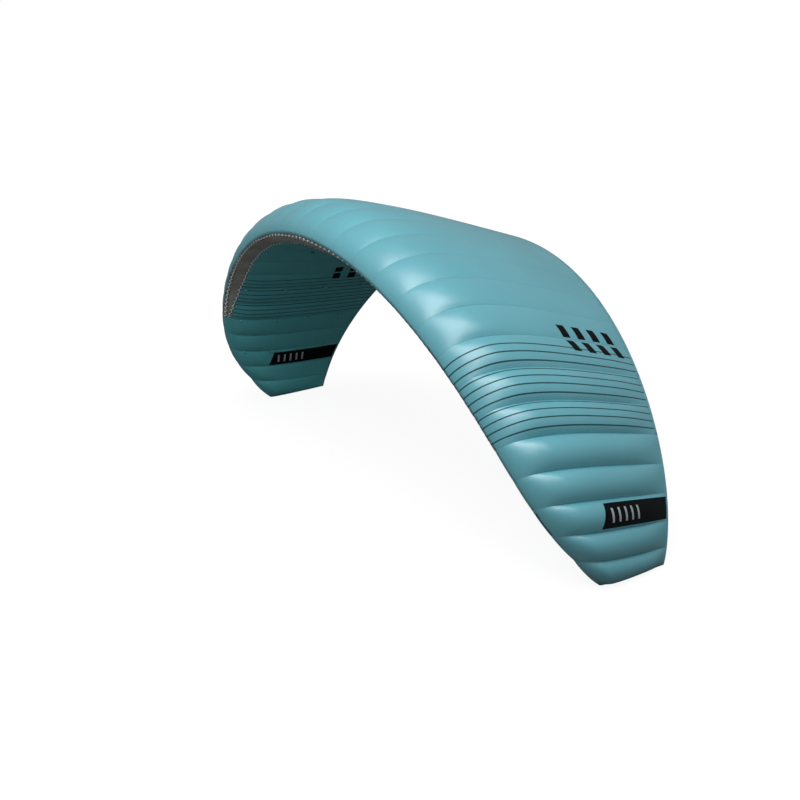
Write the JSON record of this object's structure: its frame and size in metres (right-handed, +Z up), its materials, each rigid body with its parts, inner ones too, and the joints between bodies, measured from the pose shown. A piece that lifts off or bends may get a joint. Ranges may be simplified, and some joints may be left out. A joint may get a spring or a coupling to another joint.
{
  "type": "foil kite",
  "caption": "Arched ram-air foil kite with sewn cells, mesh-covered air intakes, webbing line tabs and folding wingtips.",
  "frame": {"origin": "centre of the bounding box in plan, at the level of the flat wingtip ribs the kite stands on", "axes": "+X along the span to the right wingtip, -Y to the leading edge, +Y to the trailing edge, +Z up"},
  "size_m": [2.8146, 1.0666, 1.2538],
  "materials": {
    "upper_cloth": "coated ripstop, silky sheen",
    "lower_cloth": "coated ripstop, in shade",
    "rib_cloth": "stiff coated cloth",
    "intake_mesh": "open gauze",
    "tip_cloth": "coated ripstop"
  },
  "bodies": {
    "canopy": {"intake_mesh_1": "intake_mesh", "intake_mesh_2": "intake_mesh", "intake_mesh_3": "intake_mesh", "intake_mesh_4": "intake_mesh", "intake_mesh_5": "intake_mesh", "lower_panel_1": "lower_cloth", "lower_panel_2": "lower_cloth", "lower_panel_3": "lower_cloth", "lower_panel_4": "lower_cloth", "lower_panel_5": "lower_cloth", "lower_panel_6": "lower_cloth", "lower_panel_7": "lower_cloth", "rib_left_01": "rib_cloth", "rib_left_02": "rib_cloth", "rib_left_03": "rib_cloth", "rib_left_04": "rib_cloth", "rib_left_05": "rib_cloth", "rib_left_06": "rib_cloth", "rib_left_07": "rib_cloth", "rib_left_08": "rib_cloth", "rib_left_09": "rib_cloth", "rib_left_10": "rib_cloth", "rib_right_01": "rib_cloth", "rib_right_02": "rib_cloth", "rib_right_03": "rib_cloth", "rib_right_04": "rib_cloth", "rib_right_05": "rib_cloth", "rib_right_06": "rib_cloth", "rib_right_07": "rib_cloth", "rib_right_08": "rib_cloth", "rib_right_09": "rib_cloth", "rib_right_10": "rib_cloth", "upper_panel_1": "upper_cloth", "upper_panel_2": "upper_cloth", "upper_panel_3": "upper_cloth", "upper_panel_4": "upper_cloth", "upper_panel_5": "upper_cloth", "upper_panel_6": "upper_cloth", "upper_panel_7": "upper_cloth"},
    "left_tip": {"lower_tip_left_1": "lower_cloth", "lower_tip_left_2": "lower_cloth", "rib_left_11": "rib_cloth", "rib_left_12": "rib_cloth", "rib_left_13": "rib_cloth", "rib_left_14": "rib_cloth", "tip_rib_left": "tip_cloth", "upper_tip_left_1": "upper_cloth", "upper_tip_left_2": "upper_cloth"},
    "right_tip": {"lower_tip_right_1": "lower_cloth", "lower_tip_right_2": "lower_cloth", "rib_right_11": "rib_cloth", "rib_right_12": "rib_cloth", "rib_right_13": "rib_cloth", "rib_right_14": "rib_cloth", "tip_rib_right": "tip_cloth", "upper_tip_right_1": "upper_cloth", "upper_tip_right_2": "upper_cloth"}
  },
  "joints": [
    {"name": "left_tip_fold", "type": "hinge", "parent": "canopy", "child": "left_tip", "pos_m": [-1.11833, -0.01547, 0.46548], "axis": [0, -0.9914, 0.1305], "range_deg": [0, 25]},
    {"name": "right_tip_fold", "type": "hinge", "parent": "canopy", "child": "right_tip", "pos_m": [1.11833, -0.01547, 0.46548], "axis": [0, 0.9914, -0.1305], "range_deg": [0, 25]}
  ]
}
